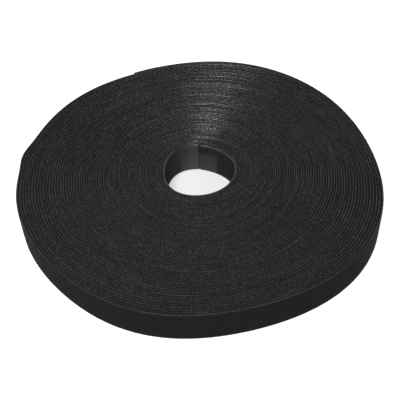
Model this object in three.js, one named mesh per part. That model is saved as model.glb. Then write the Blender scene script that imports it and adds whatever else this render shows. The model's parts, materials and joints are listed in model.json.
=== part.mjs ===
// Roll of back-to-back hook and loop tape, wound on itself without a core.
// Millimetres, +Z up. The roll lies flat: the axis of its hole is Z and its lower face is at z = 0.
// A hook strip and a loop strip are bonded back to back and wound as one tape, hooks inwards.
// The winding is one spiral whose radius grows counter-clockwise seen from above.
// The turns at the hole and at the rim are modelled strip by strip, over a plain packed ring.

import * as THREE from "three";

// Sizes of the tape
const tapeWidth = 19.05;
const hookThickness = 0.36;
const loopThickness = 0.36;
const bondGap = 0.23;

// Sizes of the roll, and how loosely the turns lie on each other
const holeRadius = 19.0;
const rollRadius = 99.0;
const layGapAtHole = 0.24;
const layGapAtRim = 0.5;
const cutGap = 0.3;

// Directions of the two cut ends of the tape, as shares of a turn from the +X axis
const innerEndShare = 90 / 360;
const outerEndShare = 113 / 360;

// Counts of the modelled winding
const stepsPerTurn = 24;
const innerTurns = 2;
const outerTurns = 20;
const freeEndSteps = 3;

// Bulges and dips that uneven winding leaves in the rim and in the hole.
// A row is the number of waves round the roll, their share of the height, and a crest's direction in degrees.
const rimWaveHeight = 1.0;
const rimWaveShares = [
  [1, 0.45, 209],
  [2, 0.65, 164],
  [3, 0.9, 77],
  [4, 1.05, 60],
  [5, 0.45, 46],
  [6, 0.4, 16],
];
const holeWaveHeight = 0.7;
const holeWaveShares = [
  [1, 1.0, 167],
  [2, 0.5, 138],
  [3, 1.2, 115],
  [4, 0.35, 20],
];
const holeWaveTurns = 12;

// The spiral's rise per turn grows steadily from the hole to the rim.
// A whole number of turns, and the part of a turn between the two cut ends, fill the roll.
const tapeThickness = hookThickness + bondGap + loopThickness;
const woundDepth = rollRadius - holeRadius;
const riseAtHole = tapeThickness + layGapAtHole;
const meanRiseWanted = tapeThickness + (layGapAtHole + layGapAtRim) / 2;
const partTurn = outerEndShare - innerEndShare;
const turnsInRoll = Math.round(woundDepth / meanRiseWanted - partTurn) + partTurn;
const riseAtRim = (2 * woundDepth) / turnsInRoll - riseAtHole;

// Stretches of the tape, in turns counted from its inner end
const peelTurn = turnsInRoll - freeEndSteps / stepsPerTurn;
const outerStartTurn = peelTurn - outerTurns;

function angleAt(turn) {
  return 2 * Math.PI * (innerEndShare + turn);
}

// Sum of the waves of a table at an angle
function waveSum(waveShares, angle) {
  let sum = 0;
  for (const [count, heightShare, crestDegrees] of waveShares) {
    const crest = THREE.MathUtils.degToRad(crestDegrees);
    sum += heightShare * Math.cos(count * (angle - crest));
  }
  return sum;
}

// Bulge of a turn: the rim's waves fade inwards and the hole's outwards, both to nothing in the packed ring
function bulgeAt(turn) {
  const rimFade = Math.max(0, (turn - outerStartTurn) / (turnsInRoll - outerStartTurn));
  const holeFade = Math.max(0, 1 - turn / holeWaveTurns);
  const rimWave = rimWaveHeight * rimFade * waveSum(rimWaveShares, angleAt(turn));
  const holeWave = holeWaveHeight * holeFade * waveSum(holeWaveShares, angleAt(turn));
  return rimWave + holeWave;
}

// Radius of the tape's inner face, where the hooks are
function radiusAt(turn) {
  const steadyRise = riseAtHole * turn;
  const addedRise = ((riseAtRim - riseAtHole) * turn * turn) / (2 * turnsInRoll);
  return holeRadius + steadyRise + addedRise + bulgeAt(turn);
}

// Turn that lies a length further along the tape
function turnAfter(turn, length) {
  return turn + length / (2 * Math.PI * radiusAt(turn));
}

// Point of the tape seen from above, at an offset outwards from its inner face
function pointAt(turn, offset) {
  const radius = radiusAt(turn) + offset;
  const angle = angleAt(turn);
  return new THREE.Vector2(radius * Math.cos(angle), radius * Math.sin(angle));
}

// Corners of a stretch of tape: equal steps, with each end drawn back by its own gap
function turnsAlong(fromTurn, toTurn, startGap, endGap) {
  const steps = Math.round((toTurn - fromTurn) * stepsPerTurn);
  const turns = [];
  for (let i = 0; i <= steps; i += 1) {
    turns.push(fromTurn + i / stepsPerTurn);
  }
  turns[0] = turnAfter(fromTurn, startGap);
  turns[steps] = turnAfter(toTurn, -endGap);
  return turns;
}

// One strip of the tape: its flat section carried along the spiral, with both cut ends closed
function stripGeometry(turns, offset, thickness) {
  const positions = [];
  const indices = [];
  for (const turn of turns) {
    const inner = pointAt(turn, offset);
    const outer = pointAt(turn, offset + thickness);
    positions.push(inner.x, inner.y, 0);
    positions.push(outer.x, outer.y, 0);
    positions.push(outer.x, outer.y, tapeWidth);
    positions.push(inner.x, inner.y, tapeWidth);
  }
  const corners = 4;
  const last = (turns.length - 1) * corners;
  for (let here = 0; here < last; here += corners) {
    const next = here + corners;
    for (let i = 0; i < corners; i += 1) {
      const j = (i + 1) % corners;
      indices.push(here + i, next + j, here + j);
      indices.push(here + i, next + i, next + j);
    }
  }
  indices.push(0, 1, 2);
  indices.push(0, 2, 3);
  indices.push(last, last + 2, last + 1);
  indices.push(last, last + 3, last + 2);
  const geometry = new THREE.BufferGeometry();
  geometry.setAttribute("position", new THREE.Float32BufferAttribute(positions, 3));
  geometry.setIndex(indices);
  geometry.computeVertexNormals();
  return geometry;
}

// The turns between, packed tight. Each wall is the face of a turn of the same spiral,
// so it steps by one turn's rise where the strips that go on from it begin.
function packedRingGeometry() {
  const outerWall = [];
  const innerWall = [];
  for (let i = 0; i <= stepsPerTurn; i += 1) {
    outerWall.push(pointAt(outerStartTurn - 1 + i / stepsPerTurn, tapeThickness));
    innerWall.push(pointAt(innerTurns + i / stepsPerTurn, 0));
  }
  const outline = new THREE.Shape(outerWall);
  outline.holes.push(new THREE.Path(innerWall));
  return new THREE.ExtrudeGeometry(outline, { depth: tapeWidth, bevelEnabled: false });
}

// Least gap of a winding strip to its own next turns, measured on points along both faces
function leastGapToItself(turns, thickness) {
  const pointsPerStep = 4;
  const innerFace = [];
  const outerFace = [];
  for (let i = 0; i + 1 < turns.length; i += 1) {
    for (let j = 0; j < pointsPerStep; j += 1) {
      const share = j / pointsPerStep;
      innerFace.push(pointAt(turns[i], 0).lerp(pointAt(turns[i + 1], 0), share));
      outerFace.push(pointAt(turns[i], thickness).lerp(pointAt(turns[i + 1], thickness), share));
    }
  }
  const halfTurn = (stepsPerTurn / 2) * pointsPerStep;
  let least = Infinity;
  for (let i = 0; i < outerFace.length; i += 1) {
    for (let j = i + halfTurn; j < innerFace.length; j += 1) {
      least = Math.min(least, outerFace[i].distanceTo(innerFace[j]));
    }
  }
  return least;
}

const hookMaterial = new THREE.MeshStandardMaterial({ color: 0x2b292c, roughness: 0.7, metalness: 0 });
const loopMaterial = new THREE.MeshStandardMaterial({ color: 0x1c1a1d, roughness: 0.95, metalness: 0 });
const packedMaterial = new THREE.MeshStandardMaterial({ color: 0x242226, roughness: 0.85, metalness: 0 });

function namedMesh(name, geometry, material) {
  const mesh = new THREE.Mesh(geometry, material.clone());
  mesh.name = name;
  return mesh;
}

// Both strips of a stretch of tape: the hook strip inside and the loop strip outside
function tapeStretch(place, turns) {
  const loopOffset = hookThickness + bondGap;
  const hook = stripGeometry(turns, 0, hookThickness);
  const loop = stripGeometry(turns, loopOffset, loopThickness);
  const stretch = new THREE.Group();
  stretch.add(namedMesh(`hook_strip_${place}`, hook, hookMaterial));
  stretch.add(namedMesh(`loop_strip_${place}`, loop, loopMaterial));
  return stretch;
}

const turnsAtHole = turnsAlong(0, innerTurns, 0, cutGap);
const turnsAtRim = turnsAlong(outerStartTurn, peelTurn, cutGap, cutGap);
const turnsOfFreeEnd = turnsAlong(peelTurn, turnsInRoll, 0, 0);

// The free end turns about the line where it leaves the roll, on the tape's outer face.
const peelPoint = pointAt(peelTurn, tapeThickness);
const freeEnd = tapeStretch("free_end", turnsOfFreeEnd);
for (const strip of freeEnd.children) {
  strip.geometry.translate(-peelPoint.x, -peelPoint.y, 0);
}
freeEnd.position.set(peelPoint.x, peelPoint.y, 0);

const roll = new THREE.Group();
roll.add(tapeStretch("inner_turns", turnsAtHole));
roll.add(namedMesh("packed_middle_turns", packedRingGeometry(), packedMaterial));
roll.add(tapeStretch("outer_turns", turnsAtRim));
roll.add(freeEnd);

const meanRadius = holeRadius + ((2 * riseAtHole + riseAtRim) * turnsInRoll) / 6;
const tapeLength = 2 * Math.PI * meanRadius * turnsInRoll;
console.log(`turns ${turnsInRoll.toFixed(2)}, rise ${riseAtHole.toFixed(2)} to ${riseAtRim.toFixed(2)} mm`);
console.log(`length of tape in the roll ${tapeLength.toFixed(0)} mm`);
console.log(`peel line at ${peelPoint.x.toFixed(3)}, ${peelPoint.y.toFixed(3)} mm`);
for (const [place, turns] of [["inner", turnsAtHole], ["outer", turnsAtRim]]) {
  const hookGap = leastGapToItself(turns, hookThickness).toFixed(2);
  const loopGap = leastGapToItself(turns, loopThickness).toFixed(2);
  console.log(`least gap to itself, ${place} turns: hook strip ${hookGap} mm, loop strip ${loopGap} mm`);
}

export default roll;
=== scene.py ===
"""Roll of black back-to-back hook and loop tape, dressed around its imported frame.

A hook strip and a loop strip are bonded back to back and wound as one tape, hooks inwards, into a flat
spiral without a core. Every turn is a real turn: both strips have a base with rounded selvages and,
between the selvages, a raised field of hooks or pile. All lengths are in metres, except where a name ends
in MM.
"""

import json
import math

import bpy
import numpy as np
from mathutils import Matrix, Vector


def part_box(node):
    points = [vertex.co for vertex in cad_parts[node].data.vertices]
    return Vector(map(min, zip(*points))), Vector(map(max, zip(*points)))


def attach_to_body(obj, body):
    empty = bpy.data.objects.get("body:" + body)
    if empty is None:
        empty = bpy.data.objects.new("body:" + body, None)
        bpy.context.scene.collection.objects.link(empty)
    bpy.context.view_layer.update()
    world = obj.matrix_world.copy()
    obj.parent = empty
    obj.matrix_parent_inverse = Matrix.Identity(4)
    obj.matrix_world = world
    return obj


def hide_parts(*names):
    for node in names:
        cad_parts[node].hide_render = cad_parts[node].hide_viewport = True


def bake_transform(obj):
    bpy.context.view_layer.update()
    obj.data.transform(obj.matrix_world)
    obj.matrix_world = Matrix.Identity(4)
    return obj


bl_info = {
    "name": "Hook and Loop Tape Roll",
    "version": (1, 0, 0),
    "blender": (4, 5, 0),
    "location": "View3D > Sidebar > Tape Roll",
    "description": "Builds a wound roll of back-to-back hook and loop tape",
    "category": "Add Mesh",
}

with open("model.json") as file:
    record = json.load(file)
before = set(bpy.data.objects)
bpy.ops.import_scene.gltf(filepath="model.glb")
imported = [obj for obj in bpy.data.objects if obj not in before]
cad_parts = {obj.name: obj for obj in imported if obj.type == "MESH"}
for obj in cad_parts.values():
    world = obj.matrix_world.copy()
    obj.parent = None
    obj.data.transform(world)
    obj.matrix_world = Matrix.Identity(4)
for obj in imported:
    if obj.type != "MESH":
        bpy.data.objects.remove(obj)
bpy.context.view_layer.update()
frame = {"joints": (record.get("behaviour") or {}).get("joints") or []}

MM = 0.001
ROLL_BODY = "wound_roll"
END_BODY = "free_end"
TAPE_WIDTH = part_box("packed_middle_turns")[1].z
PEEL_JOINT = next(joint for joint in frame["joints"] if joint["child"] == END_BODY)
PEEL_POINT = Vector(PEEL_JOINT["pos_m"])

# Waves of the winding: how many go round the roll, their height in mm, and a crest's direction in degrees.
# The hole's waves fade outwards over the first turns.
RIM_WAVES = (
    (1, 0.45, 209), (2, 0.65, 164), (3, 0.9, 77), (4, 1.05, 60),
    (5, 0.45, 46), (6, 0.4, 16), (7, 0.15, 36),
)
HOLE_WAVES = ((1, 0.38, 165), (2, 0.21, 132), (3, 0.69, 116), (4, 0.21, 30))
HOLE_WAVE_TURNS = 12
# Turns outside the frame's packed ring, over which the rim's waves and its corner grow
OUTER_TURNS = 20
# Direction and spread of the corner that the outer turns make at the left
CORNER_AT = math.radians(169.7)
CORNER_SPREAD = math.radians(4.0)

# Climb of the first turns over the inner cut end: how many turns show it, the share of a turn that the
# first step takes, how much more each next one takes, and what is added, as a share of the rise
CLIMB_TURNS = 10
FIRST_STEP = 0.008
STEP_GROWTH = 0.02
CLIMB_OFFSET = 0.4
# Lean of both cut ends against the turn next to them: how far, and over what length of tape
INNER_LEAN, INNER_LEAN_LENGTH = 0.25 * MM, 5 * MM
OUTER_LEAN, OUTER_LEAN_LENGTH = 0.3 * MM, 12 * MM

# Value noise along the tape: rows of height, bends per turn, and seed
WANDER_NOISE = ((0.7, 3.3, 11), (0.3, 9.1, 12))
LIFT_NOISE = ((1.0, 0.35, 21), (1.0, 0.77, 22))
DROOP_NOISE = ((1.0, 1.37, 23),)
STREAK_NOISE = ((0.08, 260, 61),)
DROOP = 0.3
# Turns over which the noise sets in at the hole
WANDER_SETS_IN = 3
LIFT_SETS_IN = 4
# Random heights that value noise goes through before it repeats, along a line and each way on a plane
LINE_CELLS = 4096
PLANE_CELLS = 512
# Rows of the table that gives the turn at a length of tape
TABLE_ROWS = 4000

# Gap that loosely wound pile leaves to the next turn, and the share of a turn over which it is pressed
# flat where there is no next turn
PILE_GAP = 0.03 * MM
PRESSED_FLAT_OVER = 0.015


def length(name, default, description):
    """A length property that a user can change in the panel."""
    kind = {"subtype": "DISTANCE", "unit": "LENGTH", "precision": 5}
    return bpy.props.FloatProperty(name=name, description=description, default=default, **kind)


def degrees(name, default, description):
    """An angle property, its default given in degrees."""
    kind = {"default": math.radians(default), "subtype": "ANGLE"}
    return bpy.props.FloatProperty(name=name, description=description, **kind)


def colour(name, default, description):
    """A colour property in linear light."""
    kind = {"subtype": "COLOR", "size": 3, "min": 0.0, "max": 1.0}
    return bpy.props.FloatVectorProperty(name=name, description=description, default=default, **kind)


class TapeSizes(bpy.types.PropertyGroup):
    """Section of the tape, across its thickness and its width."""

    width: length("Width", TAPE_WIDTH, "Width of the tape from selvage to selvage")
    base: length("Base", 0.36 * MM, "Thickness of each strip's woven base")
    hooks: length("Hooks", 0.12 * MM, "Height of the hook field above its base")
    pile: length("Pile", 0.16 * MM, "Height of the loop pile above its base")
    bond: length("Bond", 0.02 * MM, "Thickness of the film between the strips")
    selvage: length("Selvage", 0.34 * MM, "Width of the bare woven edge on both sides")
    edge_round: length("Edge rounding", 0.22 * MM, "Drop of a selvage from the bond to its outer corner")


class RollSizes(bpy.types.PropertyGroup):
    """The spiral that the tape is wound into."""

    hole_radius: length("Hole radius", 19.0 * MM, "Radius of the inner face at the inner cut end")
    rim_radius: length("Rim radius", 99.0 * MM, "Radius of the inner face at the outer cut end")
    rise_at_hole: length("Rise at the hole", 1.07 * MM, "Distance between turns at the hole")
    whole_turns: bpy.props.IntProperty(
        name="Whole turns", description="Whole turns of tape in the roll", default=61
    )
    inner_end: degrees("Inner end", 90, "Direction of the inner cut end")
    outer_end: degrees("Outer end", 113, "Direction of the outer cut end")
    lift: length("Lift", 0.45 * MM, "Most that a turn stands above the lowest one")
    wander: length("Wander", 0.15 * MM, "Most that a turn strays sideways from the even spiral")
    corner: length("Corner", 1.9 * MM, "Height of the blunt corner that the outer turns make")


class RollColours(bpy.types.PropertyGroup):
    """Colours of the fabric."""

    hook: colour("Hook field", (0.010, 0.0085, 0.0103), "Hook strip between its selvages")
    wall: colour("Hook wall", (0.0235, 0.0218, 0.0238), "Hooks that line the hole")
    loop: colour("Loop pile", (0.0192, 0.0162, 0.0198), "Pile of the loop strip")
    selvage: colour("Selvage", (0.0308, 0.0274, 0.0319), "Woven edges of the loop strip")
    hook_selvage: colour("Hook selvage", (0.0138, 0.0123, 0.0144), "Woven edges of the hook strip")
    # Painted highlight on the ridges of the first and last turn, lighter where no next turn shades them
    rim_highlight_colour: colour("Rim highlight", (0.09, 0.08, 0.092), "Edges of the first and last turn")
    lint: colour("Lint", (0.12, 0.11, 0.125), "Stray fibre ends")


class StageSizes(bpy.types.PropertyGroup):
    """Place and lens of the camera."""

    focal_length: bpy.props.FloatProperty(
        name="Focal length", description="Lens in millimetres", default=72.45
    )
    elevation: degrees("Elevation", 46.16, "Height angle of the camera")
    tilt: degrees("Tilt", -2.35, "Turn of the camera about its view axis")
    distance: length("Distance", 0.4543, "Distance from the camera to its target")
    target: bpy.props.FloatVectorProperty(
        name="Target",
        description="Point that the camera looks at",
        default=(-0.00025, -0.00466, 0.0),
        size=3,
    )


class Spiral:
    """The wound tape as functions of the turn, which is counted from the inner cut end."""

    def __init__(self, roll, tape):
        self.roll = roll
        self.tape = tape
        part_turn = (roll.outer_end - roll.inner_end) / (2 * math.pi)
        self.turns = roll.whole_turns + part_turn
        depth = roll.rim_radius - roll.hole_radius
        self.rise_at_rim = 2 * depth / self.turns - roll.rise_at_hole
        peel_angle = math.atan2(PEEL_POINT.y, PEEL_POINT.x)
        self.peel = self.turns - (roll.outer_end - peel_angle) / (2 * math.pi)
        self.outer_start = self.peel - OUTER_TURNS

    def angle(self, turn):
        """Direction in radians: the inner end's direction plus one full circle for each turn."""
        return self.roll.inner_end + 2 * math.pi * turn

    def climb(self, turn):
        """Steps of the first turns: each lies level and climbs over the cut end in its last part.

        It is the rise times (eased step - share of the turn + offset), and fades out over the first turns.
        """
        whole = np.floor(turn)
        share = turn - whole
        step = ease((share - 1) / (FIRST_STEP + STEP_GROWTH * whole) + 1)
        fade = np.clip(1 - turn / CLIMB_TURNS, 0, 1)
        return fade * self.roll.rise_at_hole * (step - share + CLIMB_OFFSET)

    def press(self, turn):
        """Lean of both cut ends against the turn next to them, by eased steps near each end."""
        left = (self.turns - turn) * 2 * math.pi * self.roll.rim_radius
        gone = turn * 2 * math.pi * self.roll.hole_radius
        inner = INNER_LEAN * ease(1 - gone / INNER_LEAN_LENGTH)
        outer = OUTER_LEAN * ease(1 - left / OUTER_LEAN_LENGTH)
        return inner - outer

    def waves(self, turn):
        """Bulges of rim and hole: two sums of waves, which fade away from the rim and from the hole.

        The rim's have a corner added: its height times exp((cos(angle from it) - 1) / spread squared).
        """
        angle = self.angle(turn)
        rim_fade = np.clip((turn - self.outer_start) / (self.turns - self.outer_start), 0, 1)
        hole_fade = np.clip(1 - turn / HOLE_WAVE_TURNS, 0, 1)
        corner = self.roll.corner * np.exp((np.cos(angle - CORNER_AT) - 1) / CORNER_SPREAD**2)
        return rim_fade * (wave_sum(RIM_WAVES, angle) + corner) + hole_fade * wave_sum(HOLE_WAVES, angle)

    def radius(self, turn):
        """Radius of the hook face: hole radius + rise + waves + wander + climb + press.

        The rise per turn goes evenly from its value at the hole to its value at the rim, so its sum is a
        quadratic in the turn. The wander is value noise along the tape.
        """
        roll = self.roll
        growth = (self.rise_at_rim - roll.rise_at_hole) * turn**2 / (2 * self.turns)
        rise = roll.rise_at_hole * turn + growth
        wander = roll.wander * ease(turn / WANDER_SETS_IN) * noise_along(turn, WANDER_NOISE)
        return roll.hole_radius + rise + self.waves(turn) + wander + self.climb(turn) + self.press(turn)

    def lift(self, turn):
        """Height of the tape's lower edge: half the lift plus value noise along the tape.

        The noise sets in over the first turns, so the innermost one lies nearly level.
        """
        noise = noise_along(turn, LIFT_NOISE)
        return self.roll.lift * (0.5 + 0.25 * ease(turn / LIFT_SETS_IN) * noise)

    def droop(self, turn):
        """Share by which the edge rounding differs along the tape: value noise along it."""
        return DROOP * ease(turn / LIFT_SETS_IN) * noise_along(turn, DROOP_NOISE)

    def spare_room(self, turn):
        """Room that loosely wound pile fills: distance to the next turn less the tape and a small gap.

        It ends by an eased step where the next turn ends.
        """
        tape = self.tape
        tape_thickness = tape.hooks + 2 * tape.base + tape.bond + tape.pile
        after = np.minimum(turn + 1, self.turns)
        room = self.radius(after) - self.radius(turn) - tape_thickness - PILE_GAP
        return np.maximum(room, 0) * step_down(turn, self.turns - 1, PRESSED_FLAT_OVER)

    def arc_length(self, turn):
        """Length of tape up to a turn: the integral of the even spiral's radius over the angle."""
        roll = self.roll
        growth = (self.rise_at_rim - roll.rise_at_hole) / (6 * self.turns)
        radius_sum = roll.hole_radius * turn + roll.rise_at_hole * turn**2 / 2 + growth * turn**3
        return 2 * math.pi * radius_sum

    def stations(self, first, last, spacing):
        """Turns at even distances along the tape, found by inverting the arc length on a fine table."""
        table = np.linspace(first, last, TABLE_ROWS)
        lengths = self.arc_length(table)
        count = max(2, int(round((lengths[-1] - lengths[0]) / spacing)) + 1)
        return np.interp(np.linspace(lengths[0], lengths[-1], count), lengths, table)

    def points(self, turn, offset, height):
        """Points at a turn, an offset outwards from the hook face and a height up the tape's width."""
        radius = self.radius(turn) + offset
        angle = self.angle(turn)
        x, y = radius * np.cos(angle), radius * np.sin(angle)
        return np.stack(np.broadcast_arrays(x, y, height + self.lift(turn)), -1)


def ease(share):
    """Smooth step: 3 s^2 - 2 s^3 of a share held between 0 and 1."""
    share = np.clip(share, 0, 1)
    return share**2 * (3 - 2 * share)


def step_up(value, start, width):
    """Eased step from 0 to 1 that begins at the start and is over a width later."""
    return ease((value - start) / width)


def step_down(value, end, width):
    """Eased step from 1 to 0 that begins a width before the end and is over there."""
    return ease((end - value) / width)


def wave_sum(waves, angle):
    """Sum over the waves of height times the cosine of count times the angle from the crest."""
    return sum(
        height * MM * np.cos(count * (angle - math.radians(crest))) for count, height, crest in waves
    )


def smooth_noise(x, seed):
    """Value noise: random heights from -1 to 1 at whole numbers, joined by a cosine ease."""
    x = np.asarray(x, float)
    heights = np.random.default_rng(seed).uniform(-1, 1, LINE_CELLS)
    cell = np.floor(x).astype(int)
    blend = (1 - np.cos(np.pi * (x - cell))) / 2
    return heights[cell % LINE_CELLS] * (1 - blend) + heights[(cell + 1) % LINE_CELLS] * blend


def noise_along(turn, rows):
    """Sum over the rows of height times value noise that bends so many times per turn."""
    return sum(height * smooth_noise(turn * bends, seed) for height, bends, seed in rows)


def smooth_noise_2d(x, y, seed):
    """Value noise on a plane: random heights at whole points, joined by a cosine ease both ways."""
    heights = np.random.default_rng(seed).uniform(-1, 1, (PLANE_CELLS, PLANE_CELLS))
    i, j = np.floor(x).astype(int), np.floor(y).astype(int)
    a, b = (1 - np.cos(np.pi * (x - i))) / 2, (1 - np.cos(np.pi * (y - j))) / 2
    i, j, k, m = i % PLANE_CELLS, j % PLANE_CELLS, (i + 1) % PLANE_CELLS, (j + 1) % PLANE_CELLS
    low = heights[i, j] * (1 - a) + heights[k, j] * a
    high = heights[i, m] * (1 - a) + heights[k, m] * a
    return low * (1 - b) + high * b


# Ridge of a selvage, from the bond outwards: places as shares of the base's thickness, how much of the
# painted rim highlight each can take, and the edge mask there and on down the shoulder
RIDGE_SHARES = (0.0, 0.04, 0.25, 0.5, 0.75, 0.96, 1.0)
RIM_HIGHLIGHT_MASK = (1.0, 1.0, 1.0, 0.6, 0.15, 0.0, 0.0)
EDGE_MASK = (1.0, 1.0, 1.0, 1.0, 1.0, 1.0, 0.8, 0.3, 0.1)
# The ridge drops by the edge rounding times its share to this power, and its last corner drops a bit more
ROUND_POWER = 1.3
CORNER_DROP = 0.05 * MM
# Shoulder up to the field: its height as a share of the field's, how far in from the selvage its top and
# the field begin, and how much further in the raised mask begins
SHOULDER_SHARE = 0.7
SHOULDER_INSET = 0.04 * MM
FIELD_INSET = 0.14 * MM
RAISED_INSET = 0.3 * MM


def strip_section(tape, side, field_rows):
    """Closed outline of one strip, top selvage first: offsets, heights, three masks, and drops.

    The masks are of the edge, the ridge that can take the painted rim highlight, and the raised field. Both
    strips share one ridge at each selvage, which drops from the bond outwards and then turns down the
    strip's own face. The field stands out from the base by a short shoulder. The raised mask begins further
    in, past a groove.
    """
    hook_side = side == "hook"
    outward = -1 if hook_side else 1
    field = tape.hooks if hook_side else tape.pile
    bond = tape.hooks + tape.base + (0 if hook_side else tape.bond)
    share = np.array(RIDGE_SHARES)
    drop = tape.edge_round * share**ROUND_POWER
    drop[-1] += CORNER_DROP
    ridge_offset = bond + outward * tape.base * share
    ridge_height = tape.width / 2 - drop
    front = bond + outward * tape.base
    shoulder_offset = front + outward * field * np.array([0.0, SHOULDER_SHARE])
    shoulder_height = tape.width / 2 - tape.selvage - np.array([0.0, SHOULDER_INSET])
    inset = tape.width / 2 - tape.selvage - FIELD_INSET
    deep = inset - RAISED_INSET
    rows = np.concatenate([[inset], np.linspace(deep, -deep, field_rows), [-inset]])
    face = np.full(rows.size, front + outward * field)
    offset = np.concatenate(
        [ridge_offset, shoulder_offset, face, shoulder_offset[::-1], ridge_offset[::-1]]
    )
    height = np.concatenate(
        [ridge_height, shoulder_height, rows, -shoulder_height[::-1], -ridge_height[::-1]]
    )
    edge = np.concatenate([EDGE_MASK, np.zeros(rows.size), EDGE_MASK[::-1]])
    between = np.zeros(rows.size + 2 * shoulder_offset.size)
    ridge = np.concatenate([RIM_HIGHLIGHT_MASK, between, RIM_HIGHLIGHT_MASK[::-1]])
    drops = np.concatenate([drop, between, -drop[::-1]])
    outside = np.zeros(len(EDGE_MASK) + 1)
    raised = np.concatenate([outside, np.ones(field_rows), outside])
    return offset, height + tape.width / 2, edge, ridge, raised, drops


def new_mesh(name, points, faces, uvs, attributes):
    """A mesh object from arrays of points, quads, a UV pair for each quad corner, and point attributes."""
    mesh = bpy.data.meshes.new(name)
    mesh.vertices.add(len(points))
    mesh.vertices.foreach_set("co", points.astype(np.float32).ravel())
    mesh.loops.add(faces.size)
    mesh.loops.foreach_set("vertex_index", faces.astype(np.int32).ravel())
    mesh.polygons.add(len(faces))
    starts = np.arange(0, faces.size, faces.shape[1], dtype=np.int32)
    mesh.polygons.foreach_set("loop_start", starts)
    mesh.update(calc_edges=True)
    mesh.polygons.foreach_set("use_smooth", np.ones(len(faces), bool))
    layer = mesh.uv_layers.new(name="tape")
    layer.data.foreach_set("uv", uvs.astype(np.float32).ravel())
    for key, values in attributes.items():
        attribute = mesh.attributes.new(key, "FLOAT", "POINT")
        attribute.data.foreach_set("value", values.astype(np.float32).ravel())
    mesh.validate()
    item = bpy.data.objects.new(name, mesh)
    bpy.context.scene.collection.objects.link(item)
    return item


def swept_faces(stations, ring):
    """Quads of a closed section carried along a path, as corner indices of a stations by ring grid."""
    i, j = np.meshgrid(np.arange(stations - 1), np.arange(ring), indexing="ij")
    k = (j + 1) % ring
    corners = [i * ring + j, i * ring + k, (i + 1) * ring + k, (i + 1) * ring + j]
    return np.stack(corners, -1).reshape(-1, 4)


def cap_faces(first, ring):
    """Quads that close a ring of an even number of points, folded across it like a zip."""
    half = ring // 2
    j = np.arange(half - 1)
    return first + np.stack([j, ring - 1 - j, ring - 2 - j, j + 1], -1)


# Painted highlight on the ridge round the hole: where it begins and ends, in turns from the inner cut end,
# each with the width of its step. The last turn's ridge takes a share of it, and the step up to it has a
# width too.
RIM_HIGHLIGHT_BEGINS = (0.08, 0.08)
RIM_HIGHLIGHT_ENDS = (1.01, 0.01)
LAST_TURN_HIGHLIGHT = 0.3
LAST_TURN_STEP = 0.04


def painted_rim_highlight(spiral, turns):
    """Painted highlight on the ridge of the edge, lighter where no next turn shades it: 1 on the first
    turn, a share of it on the last, 0 between.

    Near the inner cut end the first turn's ridge gets none of it and is as dark as the rest.
    """
    first = step_up(turns, *RIM_HIGHLIGHT_BEGINS) * step_down(turns, *RIM_HIGHLIGHT_ENDS)
    last = step_up(turns, spiral.turns - 1, LAST_TURN_STEP)
    return np.maximum(first, LAST_TURN_HIGHLIGHT * last)


# Painted light and shade on the hooks round the hole, in turns from the inner cut end, each place with the
# width of its step: where the painted light behind that end eases off, where that is over, where the faint
# painted light beyond fades and where it returns, and where the first turn comes round to the end with its
# lower part painted lighter
HOLE_LIGHT_EASES = (0.045, 0.01)
HOLE_LIGHT_ENDS = (0.1, 0.015)
HOLE_LIGHT_FADES = (0.8, 0.12)
HOLE_LIGHT_RETURNS = (0.77, 0.06)
HOLE_LIGHT_COMES_ROUND = (0.885, 0.035)
# How much of a turn sooner the painted light behind the end is over at the tape's lower edge
OVER_SOONER_BELOW = 0.012
# Behind the end: the share of painted light that the easing takes off, the share lost up the tape's width,
# so that it is darker towards the top, and how much more of it is lost past the easing
EASED_OFF = 0.15
LOST_UPWARDS, LOST_MORE = 0.35, 0.1
# Coming round: the painted lit part's top as a share of the width, with painted shadow above it, the turn
# where it has that height, its fall per turn and the width of its soft edge, and the painted light there at
# the foot and its loss upwards
LIT_PART_TOP, LIT_PART_TOP_TURN, LIT_PART_TOP_FALL = 0.76, 0.9, 0.9
LIT_PART_TOP_STEP = 0.07
ROUND_LIT, ROUND_LOST_UPWARDS = 0.76, 0.4
# Faint painted light before it fades, and once it has returned
LIGHT_AT_FIRST, LIGHT_RETURNED = 0.44, 0.16


def painted_hole_light(turns, rise):
    """Painted light and shade on the hooks round the hole, from the turn and the share of the tape's width.

    Most painted light on the tenth of a turn behind the cut end, less so up its height. Where the first
    turn comes round to that end, its lower two thirds are painted lighter too, and a painted shadow is left
    above them.
    """
    eased = step_up(turns, *HOLE_LIGHT_EASES)
    strength = (1 - EASED_OFF * eased) * (1 - (LOST_UPWARDS + LOST_MORE * eased) * rise)
    end, end_step = HOLE_LIGHT_ENDS
    at_end = ease((end - turns - OVER_SOONER_BELOW * (1 - rise)) / end_step) * strength
    top = LIT_PART_TOP - LIT_PART_TOP_FALL * (turns - LIT_PART_TOP_TURN)
    below_top = ease((top - rise) / LIT_PART_TOP_STEP + 0.5)
    round_strength = ROUND_LIT - ROUND_LOST_UPWARDS * rise
    coming = step_up(turns, *HOLE_LIGHT_COMES_ROUND) * below_top * round_strength
    light = LIGHT_AT_FIRST * step_down(turns, *HOLE_LIGHT_FADES)
    returned = LIGHT_RETURNED * step_up(turns, *HOLE_LIGHT_RETURNS)
    streaks = 1 + noise_along(turns, STREAK_NOISE)
    return np.maximum(np.maximum(at_end, coming), light + returned) * streaks


# Size along and across the tape of the bumps that roughen the field, and the seed of their heights
BUMP_LENGTH, BUMP_WIDTH = 0.9 * MM, 0.7 * MM
BUMP_SEED = 31


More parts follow.
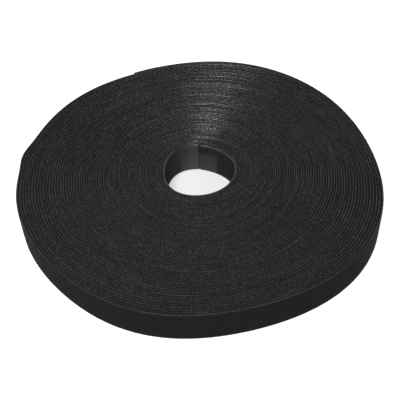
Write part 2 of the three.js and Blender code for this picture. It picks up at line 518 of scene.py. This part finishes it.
def strip_piece(name, spiral, side, turns, field_rows, relief):
    """One strip along a stretch of the spiral: point(turn, section) = spiral point of the section's offset.

    relief is the height of value noise that roughens the field. On the loop strip the raised field also
    fills the spare room to the next turn.
    """
    tape = spiral.tape
    offset, height, edge, ridge, raised, drops = strip_section(tape, side, field_rows)
    ring = len(offset)
    along = spiral.arc_length(turns)
    outward = -1 if side == "hook" else 1
    bumps = smooth_noise_2d(along[:, None] / BUMP_LENGTH, height[None] / BUMP_WIDTH, BUMP_SEED)
    bumps = outward * relief * (1 - edge)[None] * bumps
    if side == "loop":
        bumps = bumps + spiral.spare_room(turns)[:, None] * raised
    rounded = height[None] - spiral.droop(turns)[:, None] * drops[None]
    points = spiral.points(turns[:, None], offset[None] + bumps, rounded)
    steps = np.hypot(np.diff(offset, append=offset[0]), np.diff(height, append=height[0]))
    u, v = along - along[0], np.concatenate([[0], np.cumsum(steps)])
    i, j = np.meshgrid(np.arange(len(turns) - 1), np.arange(ring), indexing="ij")
    corners = [(u[i], v[j]), (u[i], v[j + 1]), (u[i + 1], v[j + 1]), (u[i + 1], v[j])]
    uvs = [np.stack([np.stack(corner, -1) for corner in corners], 2).reshape(-1, 2)]
    start, end = cap_faces(0, ring), cap_faces((len(turns) - 1) * ring, ring)[:, ::-1]
    for cap, value in ((start, u[0]), (end, u[-1])):
        uvs.append(np.stack([np.full(cap.size, value), v[cap.ravel() % ring]], -1))
    faces = np.concatenate([swept_faces(len(turns), ring), start, end])
    uvs = np.concatenate(uvs)
    # The first and last turn's ridges carry a painted highlight
    attributes = {"edge": edge[None], "rim_highlight": painted_rim_highlight(spiral, turns)[:, None] * ridge[None]}
    if side == "hook":
        faces = faces[:, ::-1]
        uvs = uvs.reshape(-1, 4, 2)[:, ::-1].reshape(-1, 2)
        # Painted light and shade on the hooks round the hole
        attributes["hole_wall_light"] = painted_hole_light(turns[:, None], height[None] / tape.width)
    shape = points.shape[:2]
    attributes = {key: np.broadcast_to(value, shape).ravel() for key, value in attributes.items()}
    return new_mesh(name, points.reshape(-1, 3), faces, uvs, attributes)


def local_axes(spiral, turn):
    """Unit vectors at a turn: along the tape, outwards, and up the width."""
    angle = spiral.angle(turn)
    zero = np.zeros_like(angle)
    along = np.stack([-np.sin(angle), np.cos(angle), zero], -1)
    outwards = np.stack([np.cos(angle), np.sin(angle), zero], -1)
    up = np.stack([zero, zero, zero + 1], -1)
    return along, outwards, up


def shares_along(points):
    """Shares from 0 to 1 along a fibre, laid out to go with arrays of fibres by points by coordinates."""
    return np.linspace(0, 1, points)[None, :, None]


# Difference of tone from each fibre to the next
FIBRE_TONE_STEP = 0.37


def hair_pieces(name, centres, radius):
    """Thin three-sided tubes: each row of centres is one fibre, and its ring lies across its own path.

    Ring point = centre + radius (cos a * side + sin a * other), with side and other square to the path.
    """
    count, steps = centres.shape[:2]
    path = np.gradient(centres, axis=1)
    path /= np.linalg.norm(path, axis=2, keepdims=True) + 1e-12
    guide = np.where(np.abs(path[..., 2:3]) < 0.9, [[[0.0, 0.0, 1.0]]], [[[1.0, 0.0, 0.0]]])
    side = np.cross(path, guide)
    side /= np.linalg.norm(side, axis=2, keepdims=True) + 1e-12
    other = np.cross(path, side)
    a = np.arange(3) * 2 * np.pi / 3
    ring = np.cos(a)[:, None] * side[:, :, None] + np.sin(a)[:, None] * other[:, :, None]
    points = centres[:, :, None] + radius * ring
    single = swept_faces(steps, 3)
    faces = (np.arange(count)[:, None, None] * steps * 3 + single[None]).reshape(-1, 4)
    uvs = np.zeros((faces.size, 2))
    uvs[:, 0] = np.repeat(np.arange(count), single.size) * FIBRE_TONE_STEP % 1.0
    return new_mesh(name, points.reshape(-1, 3), faces, uvs, {})


# Pile loops: how many stand on a square metre, the bare margin inside each selvage, how deep their feet
# are sunk, the least and most of their half span and height, and half their thickness
LOOPS_PER_AREA = 0.5e6
LOOP_MARGIN = 0.3 * MM
LOOP_SINK = 0.05 * MM
LOOP_REACH_MM = (0.14, 0.30)
LOOP_HEIGHT_MM = (0.10, 0.24)
LOOP_RADIUS = 0.026 * MM


def pile_loops(name, spiral, first, last, seed):
    """Small loops of pile yarn standing on the outer face.

    Each is half an ellipse: point(t) = foot + reach cos(pi t) * direction + rise sin(pi t) * outwards.
    """
    tape = spiral.tape
    rng = np.random.default_rng(seed)
    margin = tape.selvage + LOOP_MARGIN
    span = spiral.arc_length(last) - spiral.arc_length(first)
    count = int(LOOPS_PER_AREA * span * (tape.width - 2 * margin))
    turn = rng.uniform(first, last, count)
    height = rng.uniform(margin, tape.width - margin, count)
    surface = tape.hooks + 2 * tape.base + tape.bond + tape.pile
    foot = spiral.points(turn, surface - LOOP_SINK, height)
    along, outwards, up = local_axes(spiral, turn)
    lean = rng.uniform(0, 2 * np.pi, count)[:, None]
    direction = np.cos(lean) * along + np.sin(lean) * up
    t = shares_along(points=6)
    reach = rng.uniform(*LOOP_REACH_MM, count)[:, None, None] * MM
    rise = rng.uniform(*LOOP_HEIGHT_MM, count)[:, None, None] * MM
    across = reach * np.cos(np.pi * t) * direction[:, None]
    centres = foot[:, None] + across + rise * np.sin(np.pi * t) * outwards[:, None]
    return hair_pieces(name, centres, LOOP_RADIUS)


# Hooks: the pitch of their rows along and across the tape, the bare margin inside each selvage, how deep
# their feet are sunk, how far they stray from their row, their curl and height, the share of a half turn
# that they bend through, half their thickness, and the seed of their places
HOOK_PITCH_ALONG, HOOK_PITCH_ACROSS = 0.8 * MM, 0.55 * MM
HOOK_MARGIN = 0.35 * MM
HOOK_SINK = 0.04 * MM
HOOK_STRAY_MM = 0.04
HOOK_CURL, HOOK_HEIGHT = 0.22 * MM, 0.26 * MM
HOOK_BEND = 0.75
HOOK_RADIUS = 0.055 * MM
HOOK_SEED = 47


def hook_rows(name, spiral, first, last):
    """Rows of small hooks on the inner face, each a stem that curls over along the tape, either way.

    point(t) = foot + curl (1 - cos(pi t)) / 2 * along + height sin(bend pi t) * inwards.
    """
    tape = spiral.tape
    rng = np.random.default_rng(HOOK_SEED)
    margin = tape.selvage + HOOK_MARGIN
    turn = spiral.stations(first, last, HOOK_PITCH_ALONG)[:-1]
    height = np.arange(margin, tape.width - margin, HOOK_PITCH_ACROSS)
    turn, height = (grid.ravel() for grid in np.meshgrid(turn, height, indexing="ij"))
    height = height + rng.uniform(-HOOK_STRAY_MM, HOOK_STRAY_MM, height.size) * MM
    foot = spiral.points(turn, HOOK_SINK, height)
    along, outwards, _ = local_axes(spiral, turn)
    way = np.where(rng.uniform(size=turn.size) < 0.5, -1.0, 1.0)[:, None, None]
    t = shares_along(points=5)
    curled = way * HOOK_CURL * (1 - np.cos(np.pi * t)) / 2 * along[:, None]
    raised = HOOK_HEIGHT * np.sin(HOOK_BEND * np.pi * t) * outwards[:, None]
    return hair_pieces(name, foot[:, None] + curled - raised, HOOK_RADIUS)


# Stray fibres: how many, how deep their feet are sunk, the least and most of their length and bow, the
# share of a half turn that they bend through, half their thickness, and the seed of their places
FIBRE_COUNT = 500
FIBRE_SINK = 0.02 * MM
FIBRE_LENGTH_MM = (0.4, 1.6)
FIBRE_BOW_MM = (0.05, 0.35)
FIBRE_BEND = 0.8
FIBRE_RADIUS = 0.02 * MM
FIBRE_SEED = 53


def loose_fibres(name, spiral):
    """Stray fibre ends on the selvages: point(t) = foot + length t * way + bow sin(bend pi t) * up."""
    tape = spiral.tape
    rng = np.random.default_rng(FIBRE_SEED)
    turn = np.sqrt(rng.uniform(0.02, 1, FIBRE_COUNT)) * (spiral.turns - 1)
    offset = rng.uniform(tape.hooks, tape.hooks + 2 * tape.base, FIBRE_COUNT)
    foot = spiral.points(turn, offset, tape.width - FIBRE_SINK)
    along, outwards, up = local_axes(spiral, turn)
    lean = rng.uniform(0, 2 * np.pi, FIBRE_COUNT)[:, None]
    way = np.cos(lean) * along + np.sin(lean) * outwards
    t = shares_along(points=6)
    reach = rng.uniform(*FIBRE_LENGTH_MM, FIBRE_COUNT)[:, None, None] * MM
    bow = rng.uniform(*FIBRE_BOW_MM, FIBRE_COUNT)[:, None, None] * MM
    raised = bow * np.sin(np.pi * t * FIBRE_BEND) * up[:, None]
    return hair_pieces(name, foot[:, None] + reach * t * way[:, None] + raised, FIBRE_RADIUS)


def group_tree(name, inputs, outputs):
    """A new shader node group with its sockets, and its input and output nodes."""
    tree = bpy.data.node_groups.new(name, "ShaderNodeTree")
    for label, kind, default in inputs:
        socket = tree.interface.new_socket(label, in_out="INPUT", socket_type=kind)
        if default is not None:
            socket.default_value = default
    for label, kind in outputs:
        tree.interface.new_socket(label, in_out="OUTPUT", socket_type=kind)
    return tree, tree.nodes.new("NodeGroupInput"), tree.nodes.new("NodeGroupOutput")


def math_node(tree, operation, first, second=None, clamp=False):
    """A Math node whose inputs are sockets or plain numbers. Returns its output."""
    node = tree.nodes.new("ShaderNodeMath")
    node.operation = operation
    node.use_clamp = clamp
    for socket, value in zip(node.inputs, (first, second)):
        if isinstance(value, bpy.types.NodeSocket):
            tree.links.new(value, socket)
        elif value is not None:
            socket.default_value = value
    return node.outputs[0]


def set_inputs(node, values):
    """Sets inputs of a node, by name, to plain values."""
    for key, value in values.items():
        node.inputs[key].default_value = value


def woven_group():
    """Plain weave: the crown of its threads, from 0 to 1.

    crown = half plus half the sine along the weft pitch times the cosine along the warp pitch.
    """
    tree, inputs, outputs = group_tree(
        "Woven Selvage",
        [("Vector", "NodeSocketVector", None), ("Weft Pitch", "NodeSocketFloat", 0.0006),
         ("Warp Pitch", "NodeSocketFloat", 0.0004)],
        [("Crown", "NodeSocketFloat")],
    )
    split = tree.nodes.new("ShaderNodeSeparateXYZ")
    tree.links.new(inputs.outputs["Vector"], split.inputs[0])
    waves = []
    for axis, pitch, wave in (("X", "Weft Pitch", "SINE"), ("Y", "Warp Pitch", "COSINE")):
        cycles = math_node(tree, "DIVIDE", split.outputs[axis], inputs.outputs[pitch])
        waves.append(math_node(tree, wave, math_node(tree, "MULTIPLY", cycles, 2 * math.pi)))
    product = math_node(tree, "MULTIPLY", *waves)
    crown = math_node(tree, "ADD", math_node(tree, "MULTIPLY", product, 0.5), 0.5)
    tree.links.new(crown, outputs.inputs["Crown"])
    return tree


def fuzz_group():
    """Fibre fuzz: fractal noise, sharpened round its middle by the contrast."""
    tree, inputs, outputs = group_tree(
        "Fibre Fuzz",
        [("Vector", "NodeSocketVector", None), ("Scale", "NodeSocketFloat", 1500.0),
         ("Contrast", "NodeSocketFloat", 2.0)],
        [("Tone", "NodeSocketFloat")],
    )
    noise = tree.nodes.new("ShaderNodeTexNoise")
    set_inputs(noise, {"Detail": 4.0, "Roughness": 0.65})
    tree.links.new(inputs.outputs["Vector"], noise.inputs["Vector"])
    tree.links.new(inputs.outputs["Scale"], noise.inputs["Scale"])
    middle = math_node(tree, "SUBTRACT", noise.outputs["Fac"], 0.5)
    sharp = math_node(tree, "MULTIPLY", middle, inputs.outputs["Contrast"])
    tree.links.new(math_node(tree, "ADD", sharp, 0.5, clamp=True), outputs.inputs["Tone"])
    return tree


def place_group(tree, group, values, vector):
    """Puts a node group into a material with its own values, on a map. Returns its output."""
    node = tree.nodes.new("ShaderNodeGroup")
    node.node_tree = group
    set_inputs(node, values)
    tree.links.new(vector, node.inputs["Vector"])
    return node.outputs[0]


def mix_colour(tree, factor, first, second):
    """A colour mix whose factor is a socket. Returns its colour output."""
    node = tree.nodes.new("ShaderNodeMix")
    node.data_type = "RGBA"
    tree.links.new(factor, node.inputs[0])
    for socket, value in ((node.inputs[6], first), (node.inputs[7], second)):
        if isinstance(value, bpy.types.NodeSocket):
            tree.links.new(value, socket)
        else:
            socket.default_value = (*value, 1.0)
    return node.outputs[2]


def scaled(colour_value, share):
    """A colour times a share."""
    return tuple(channel * share for channel in colour_value)


def tape_map(tree):
    """The piece's own map, in metres along the tape and round its section."""
    node = tree.nodes.new("ShaderNodeUVMap")
    node.uv_map = "tape"
    return node.outputs[0]


def point_mask(tree, name):
    """A mask that is kept at the mesh's points."""
    node = tree.nodes.new("ShaderNodeAttribute")
    node.attribute_name = name
    return node.outputs["Fac"]


def noise_on_map(tree, vector, scale, detail):
    """A noise texture on a map. Returns its node."""
    node = tree.nodes.new("ShaderNodeTexNoise")
    set_inputs(node, {"Scale": scale, "Detail": detail})
    tree.links.new(vector, node.inputs["Vector"])
    return node


# Weave of the selvages, and the scale and reach of the noise that keeps its threads from ruled lines
WEAVE = {"Weft Pitch": 1.7 * MM, "Warp Pitch": 3.4 * MM}
STRAY_SCALE = 400.0
STRAY_REACH = 1.4 * MM
# Fuzz: single fibres of the field, specks on the selvage's threads, and slow changes along the tape
FIBRES = {"Scale": 2600.0, "Contrast": 2.4}
SPECKS = {"Scale": 1200.0, "Contrast": 6.0}
SLOW_CHANGES = {"Scale": 25.0, "Contrast": 4.0}
# The field's darkest and lightest fibres, the painted light on its hooks round the hole, and a worn
# selvage, as shares of their colours, and how much of the tone the slow changes take away
FIELD_DARK, FIELD_LIGHT, FIELD_PAINTED_LIGHT = 0.55, 1.4, 5.8
WORN_SELVAGE = 0.3
WEAR = 0.6
# Bump: scale of the dimples, height of the threads beside them, and depth of both
DIMPLE_SCALE = 1400.0
THREAD_HEIGHT = 0.2
BUMP_DEPTH = 0.14 * MM
# Gloss of the threads: least share between specks, added roughness where they don't gleam, and their coat
LEAST_GLEAM = 0.2
DULL_ROUGHNESS = 0.25
COAT = {"Coat Roughness": 0.28, "Coat IOR": 1.6}
NYLON_TINT = (1.0, 0.93, 1.0, 1.0)


def new_material(name):
    """A new material's node tree and Principled shader."""
    material = bpy.data.materials.new(name)
    material.use_nodes = True
    return material.node_tree, material.node_tree.nodes["Principled BSDF"]


def strayed_map(tree, uv):
    """The map moved to and fro by coloured noise."""
    noise = noise_on_map(tree, uv, STRAY_SCALE, 1.0)
    node = tree.nodes.new("ShaderNodeVectorMath")
    node.operation = "MULTIPLY_ADD"
    node.inputs[1].default_value = (STRAY_REACH, STRAY_REACH, 0.0)
    tree.links.new(noise.outputs["Color"], node.inputs[0])
    tree.links.new(uv, node.inputs[2])
    return node.outputs[0]


def tape_material(name, field, selvage, rim_highlight_colour, weave, fuzz, beads, roughness, specular, shiny):
    """Fabric of one strip: fuzzy field, woven selvages, specks and slow changes of tone, painted light and
    shade on the hooks round the hole, and a painted highlight on the first and last turn's ridges.

    beads holds the selvage's tone between its specks, between its threads and on them, as shares of its
    colour. roughness is the pair for the selvage and the field. The selvage of a shiny strip gleams on
    its threads.
    """
    tree, shader = new_material(name)
    uv = tape_map(tree)
    edge, rim_highlight, hole_wall_light = (point_mask(tree, mask) for mask in ("edge", "rim_highlight", "hole_wall_light"))
    crown = place_group(tree, weave, WEAVE, strayed_map(tree, uv))
    fibres, specks, changes = (
        place_group(tree, fuzz, values, uv) for values in (FIBRES, SPECKS, SLOW_CHANGES)
    )
    upright = mix_colour(tree, fibres, scaled(field, FIELD_DARK), scaled(field, FIELD_LIGHT))
    # Painted light and shade on the hooks round the hole
    hole_wall_lit_field = mix_colour(tree, hole_wall_light, upright, scaled(field, FIELD_PAINTED_LIGHT))
    between, low, high = (scaled(selvage, share) for share in beads)
    threads = mix_colour(tree, crown, low, high)
    speckled = mix_colour(tree, specks, between, threads)
    fresh = math_node(tree, "ADD", math_node(tree, "MULTIPLY", changes, WEAR), 1 - WEAR)
    toned = mix_colour(tree, fresh, scaled(selvage, WORN_SELVAGE), speckled)
    # Painted highlight on the first and last turn's ridges
    rim_lit = mix_colour(tree, rim_highlight, toned, rim_highlight_colour)
    tree.links.new(mix_colour(tree, edge, hole_wall_lit_field, rim_lit), shader.inputs["Base Color"])

    dimples = noise_on_map(tree, uv, DIMPLE_SCALE, 0.0)
    bump = tree.nodes.new("ShaderNodeBump")
    set_inputs(bump, {"Strength": 1.0, "Distance": BUMP_DEPTH})
    thread_height = math_node(tree, "MULTIPLY", crown, THREAD_HEIGHT)
    relief = math_node(tree, "ADD", dimples.outputs["Fac"], thread_height)
    tree.links.new(relief, bump.inputs["Height"])
    tree.links.new(bump.outputs[0], shader.inputs["Normal"])

    speckle = math_node(tree, "ADD", specks, LEAST_GLEAM)
    gleam = math_node(tree, "MULTIPLY", math_node(tree, "MULTIPLY", speckle, fresh), crown, clamp=True)
    if shiny:
        # No coat on the selvage where the painted rim highlight lies
        off_rim_highlight = math_node(tree, "SUBTRACT", edge, rim_highlight, clamp=True)
        coat = math_node(tree, "MULTIPLY", gleam, off_rim_highlight)
        tree.links.new(coat, shader.inputs["Coat Weight"])
        set_inputs(shader, COAT)
    selvage_roughness, field_roughness = roughness
    dull = math_node(tree, "MULTIPLY", math_node(tree, "SUBTRACT", 1.0, gleam), DULL_ROUGHNESS)
    polished = math_node(tree, "MULTIPLY", edge, selvage_roughness - field_roughness)
    rough = math_node(tree, "ADD", math_node(tree, "ADD", polished, field_roughness), dull)
    tree.links.new(rough, shader.inputs["Roughness"])
    set_inputs(shader, {"Specular IOR Level": specular, "Specular Tint": NYLON_TINT})


# Darkest and lightest single fibres, as shares of their colour
YARN_DARK, YARN_LIGHT = 0.6, 1.5


def fibre_material(name, colour_value, roughness, specular):
    """Yarn of hooks, loops or stray ends, its tone changing from fibre to fibre."""
    tree, shader = new_material(name)
    split = tree.nodes.new("ShaderNodeSeparateXYZ")
    tree.links.new(tape_map(tree), split.inputs[0])
    dark, light = scaled(colour_value, YARN_DARK), scaled(colour_value, YARN_LIGHT)
    tree.links.new(mix_colour(tree, split.outputs["X"], dark, light), shader.inputs["Base Color"])
    set_inputs(shader, {"Roughness": roughness, "Specular IOR Level": specular})


def make_fabrics():
    """Every material of the roll, with the node groups that they share."""
    colours = bpy.context.scene.roll_colours
    groups = (colours.rim_highlight_colour, woven_group(), fuzz_group())
    dull_beads = (0.4, 1.4, 2.3)
    tape_material(
        "hook_strip", colours.hook, colours.hook_selvage, *groups,
        beads=(0.1, 0.3, 6.6), roughness=(0.12, 0.6), specular=0.08, shiny=True,
    )
    tape_material(
        "hook_wall", colours.wall, colours.selvage, *groups,
        beads=dull_beads, roughness=(0.6, 0.7), specular=0.0, shiny=False,
    )
    tape_material(
        "loop_strip", colours.loop, colours.selvage, *groups,
        beads=dull_beads, roughness=(0.75, 0.9), specular=0.12, shiny=False,
    )
    fibre_material("hook_nylon", scaled(colours.wall, 1.5), roughness=0.5, specular=0.2)
    fibre_material("pile_yarn", colours.loop, roughness=0.9, specular=0.2)
    fibre_material("stray_fibre", colours.lint, roughness=0.6, specular=0.4)


def fabric(name):
    """The material of that name, made with all its fellows when the first piece asks for one."""
    if name not in bpy.data.materials:
        make_fabrics()
    return bpy.data.materials[name]


def dress(piece, material):
    """Gives a piece its material."""
    piece.data.materials.append(fabric(material))


def trim(piece, material):
    """Gives the selvages of a piece a material of their own.

    They are the quads whose corners all have an edge mask of 1.
    """
    mesh = piece.data
    mesh.materials.append(fabric(material))
    edge = np.empty(len(mesh.vertices))
    mesh.attributes["edge"].data.foreach_get("value", edge)
    corners = np.empty(len(mesh.loops), int)
    mesh.loops.foreach_get("vertex_index", corners)
    whole = edge[corners].reshape(-1, 4).min(1) > 0.99
    mesh.polygons.foreach_set("material_index", whole.astype(np.int32))


def current_spiral():
    """The spiral of the sizes that the panel holds."""
    scene = bpy.context.scene
    return Spiral(scene.roll_sizes, scene.tape_sizes)


# Rows across the field where the turns outside hide it, so that it needs no relief
HIDDEN_ROWS = 2


def stretches(spiral):
    """Name, first and last turn, spacing, rows across the field and node of each stretch of a strip."""
    start = spiral.outer_start
    last = spiral.peel - 1
    return (
        ("inner_turns", 0, 2, 0.5 * MM, 18, "inner_turns"),
        ("middle_turns", 2, start, 2.4 * MM, HIDDEN_ROWS, None),
        ("outer_turns", start, last, 2.4 * MM, HIDDEN_ROWS, "outer_turns"),
        ("last_turn", last, spiral.peel, 1.0 * MM, 26, None),
        ("free_end", spiral.peel, spiral.turns, 0.5 * MM, 26, "free_end"),
    )


def attach(piece, place):
    """Rides a piece on the roll, or, for the free end, bakes its place into its mesh and leaves it
    unparented.
    """
    if place == "free_end":
        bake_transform(piece)
    else:
        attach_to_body(piece, ROLL_BODY)


def make_strip(side, relief):
    """All stretches of one strip, each dressed and attached, with the frame's parts that they replace
    hidden.
    """
    spiral = current_spiral()
    for place, first, last, spacing, rows, node in stretches(spiral):
        turns = spiral.stations(first, last, spacing)
        name = f"{side}_strip_{place}_cloth"
        piece = strip_piece(name, spiral, side, turns, rows, relief if rows > HIDDEN_ROWS else 0.0)
        lines_hole = side == "hook" and place == "inner_turns"
        dress(piece, "hook_wall" if lines_hole else f"{side}_strip")
        if lines_hole:
            trim(piece, "hook_strip")
        attach(piece, place)
        if node:
            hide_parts(f"{side}_strip_{node}")
        elif place == "middle_turns" and side == "hook":
            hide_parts("packed_middle_turns")
        flat = (spiral.tape.width, float(spiral.arc_length(last) - spiral.arc_length(first)))


class TAPEROLL_OT_hook_strip(bpy.types.Operator):
    """Wind the hook strip, with its hooks on the hole's wall and under the free end"""

    bl_idname = "taperoll.hook_strip"
    bl_label = "Hook Strip"

    def execute(self, context):
        make_strip("hook", relief=0.02 * MM)
        spiral = current_spiral()
        for name, place, first, last in (
            ("hooks_on_hole_wall", "inner_turns", 0.0, 1.0),
            ("hooks_on_free_end", "free_end", spiral.peel, spiral.turns),
        ):
            hooks = hook_rows(name, spiral, first, last)
            dress(hooks, "hook_nylon")
            attach(hooks, place)
        return {"FINISHED"}


class TAPEROLL_OT_loop_strip(bpy.types.Operator):
    """Wind the loop strip, with its pile on the outer wall"""

    bl_idname = "taperoll.loop_strip"
    bl_label = "Loop Strip"

    def execute(self, context):
        make_strip("loop", relief=0.05 * MM)
        spiral = current_spiral()
        for name, place, first, last, seed in (
            ("pile_on_last_turn", "last_turn", spiral.peel - 1, spiral.peel, 41),
            ("pile_on_free_end", "free_end", spiral.peel, spiral.turns, 42),
        ):
            pile = pile_loops(name, spiral, first, last, seed)
            dress(pile, "pile_yarn")
            attach(pile, place)
        return {"FINISHED"}


class TAPEROLL_OT_loose_fibres(bpy.types.Operator):
    """Scatter stray fibre ends over the selvages"""

    bl_idname = "taperoll.loose_fibres"
    bl_label = "Loose Fibres"

    def execute(self, context):
        spiral = current_spiral()
        piece = loose_fibres("stray_fibres", spiral)
        dress(piece, "stray_fibre")
        attach(piece, "middle_turns")
        return {"FINISHED"}


# White of the floor: the distances from the roll's middle between which each share of it grows, and the
# least and most of that share. It is weaker within the hole, which paints shade on the floor there, and
# full where the lamps don't reach.
FLOOR_WHITE = ((0.03, 0.09, 0.42, 0.88), (0.2, 1.0, 0.0, 0.12))
FLOOR_GREY = (0.5, 0.5, 0.5, 1.0)
WHITE = (1.0, 1.0, 1.0, 1.0)
# Half a side of the floor, and the strength of the surroundings' fill
FLOOR_REACH = 3.0
FILL = 0.14


def seen_rays(tree):
    """One for camera, glossy and transmission rays, zero for the rest."""
    path = tree.nodes.new("ShaderNodeLightPath")
    seen = math_node(tree, "MAXIMUM", path.outputs["Is Camera Ray"], path.outputs["Is Glossy Ray"])
    return math_node(tree, "MAXIMUM", seen, path.outputs["Is Transmission Ray"])


def grown(tree, value, limits):
    """A value mapped from its near and far limits to the low and high ones, and held between those."""
    node = tree.nodes.new("ShaderNodeMapRange")
    tree.links.new(value, node.inputs["Value"])
    set_inputs(node, dict(zip(("From Min", "From Max", "To Min", "To Max"), limits)))
    return node.outputs[0]


def floor_material():
    """White floor: a grey diffuse share that holds the shadow, plus white that lights nothing and is weaker
    within the hole, as painted shade there.
    """
    material = bpy.data.materials.new("studio_floor")
    material.use_nodes = True
    tree = material.node_tree
    tree.nodes.clear()
    diffuse = tree.nodes.new("ShaderNodeBsdfDiffuse")
    set_inputs(diffuse, {"Color": FLOOR_GREY})
    glow = tree.nodes.new("ShaderNodeEmission")
    set_inputs(glow, {"Color": WHITE})
    place = tree.nodes.new("ShaderNodeTexCoord")
    away = tree.nodes.new("ShaderNodeVectorMath")
    away.operation = "LENGTH"
    tree.links.new(place.outputs["Object"], away.inputs[0])
    # Less white within the hole: painted shade on the floor there
    shares = [grown(tree, away.outputs["Value"], limits) for limits in FLOOR_WHITE]
    white = math_node(tree, "ADD", *shares)
    tree.links.new(math_node(tree, "MULTIPLY", seen_rays(tree), white), glow.inputs["Strength"])
    both = tree.nodes.new("ShaderNodeAddShader")
    tree.links.new(diffuse.outputs[0], both.inputs[0])
    tree.links.new(glow.outputs[0], both.inputs[1])
    out = tree.nodes.new("ShaderNodeOutputMaterial")
    tree.links.new(both.outputs[0], out.inputs["Surface"])
    return material


def lay_floor():
    """A flat square under the roll."""
    r = FLOOR_REACH
    corners = np.array([(-r, -r, 0), (r, -r, 0), (r, r, 0), (-r, r, 0)], float)
    floor = new_mesh("studio_floor", corners, np.array([[0, 1, 2, 3]]), np.zeros((4, 2)), {})
    floor.data.materials.append(floor_material())


def white_world():
    """White to the camera and in gloss and glass, and a soft grey fill to everything else."""
    world = bpy.data.worlds.new("studio")
    bpy.context.scene.world = world
    world.use_nodes = True
    tree = world.node_tree
    background = tree.nodes["Background"]
    set_inputs(background, {"Color": WHITE})
    rest = math_node(tree, "MULTIPLY", seen_rays(tree), 1.0 - FILL)
    tree.links.new(math_node(tree, "ADD", rest, FILL), background.inputs["Strength"])


def area_lamp(name, place, size, power):
    """A rectangular soft lamp at a place, facing the middle of the roll's lower face."""
    light = bpy.data.lights.new(name, "AREA")
    light.shape = "RECTANGLE"
    light.size, light.size_y = size
    light.energy = power
    lamp = bpy.data.objects.new(name, light)
    bpy.context.scene.collection.objects.link(lamp)
    lamp.location = place
    lamp.rotation_euler = Vector(place).to_track_quat("Z", "Y").to_euler()


def photo_camera(stage):
    """Camera from elevation, distance, target and tilt.

    Its axes are right, up and back, turned by the tilt.
    """
    elevation, tilt = stage.elevation, stage.tilt
    back = Vector((0, -math.cos(elevation), math.sin(elevation)))
    level = Vector((1, 0, 0))
    upright = back.cross(level)
    right = math.cos(tilt) * level + math.sin(tilt) * upright
    up = math.cos(tilt) * upright - math.sin(tilt) * level
    data = bpy.data.cameras.new("photo_camera")
    data.lens = stage.focal_length
    data.sensor_width = 36.0
    data.clip_start = 0.01
    camera = bpy.data.objects.new("photo_camera", data)
    bpy.context.scene.collection.objects.link(camera)
    place = Vector(stage.target) + back * stage.distance
    camera.matrix_world = Matrix.Translation(place) @ Matrix((right, up, back)).transposed().to_4x4()
    bpy.context.scene.camera = camera


class TAPEROLL_OT_stage(bpy.types.Operator):
    """Lay the floor and set the camera, the lamps and the white surroundings"""

    bl_idname = "taperoll.stage"
    bl_label = "Stage"

    def execute(self, context):
        scene = context.scene
        photo_camera(scene.stage_sizes)
        lay_floor()
        white_world()
        area_lamp("key", place=(-0.17, -0.34, 0.92), size=(0.36, 0.14), power=8.4)
        area_lamp("right", place=(0.60, -0.40, 0.70), size=(0.40, 0.40), power=0.95)
        scene.view_settings.view_transform = "Standard"
        return {"FINISHED"}


class TAPEROLL_PT_panel(bpy.types.Panel):
    """Sizes, colours and steps of the tape roll"""

    bl_label = "Tape Roll"
    bl_idname = "TAPEROLL_PT_panel"
    bl_space_type = "VIEW_3D"
    bl_region_type = "UI"
    bl_category = "Tape Roll"

    def draw(self, context):
        for operator in OPERATORS:
            self.layout.operator(operator.bl_idname)
        for key, group in SETTINGS.items():
            settings = getattr(context.scene, key)
            for field in group.__annotations__:
                self.layout.prop(settings, field)


SETTINGS = {
    "tape_sizes": TapeSizes,
    "roll_sizes": RollSizes,
    "roll_colours": RollColours,
    "stage_sizes": StageSizes,
}
OPERATORS = (
    TAPEROLL_OT_stage,
    TAPEROLL_OT_hook_strip,
    TAPEROLL_OT_loop_strip,
    TAPEROLL_OT_loose_fibres,
)


def register():
    """Registers the settings, the operators and the panel."""
    for key, group in SETTINGS.items():
        bpy.utils.register_class(group)
        setattr(bpy.types.Scene, key, bpy.props.PointerProperty(type=group))
    for cls in (*OPERATORS, TAPEROLL_PT_panel):
        bpy.utils.register_class(cls)


def unregister():
    """Takes away what register added."""
    for cls in (TAPEROLL_PT_panel, *reversed(OPERATORS)):
        bpy.utils.unregister_class(cls)
    for key, group in SETTINGS.items():
        delattr(bpy.types.Scene, key)
        bpy.utils.unregister_class(group)


def main():
    register()
    bpy.ops.taperoll.stage()
    bpy.ops.taperoll.hook_strip()
    bpy.ops.taperoll.loop_strip()
    bpy.ops.taperoll.loose_fibres()


if __name__ == "__main__":
    main()
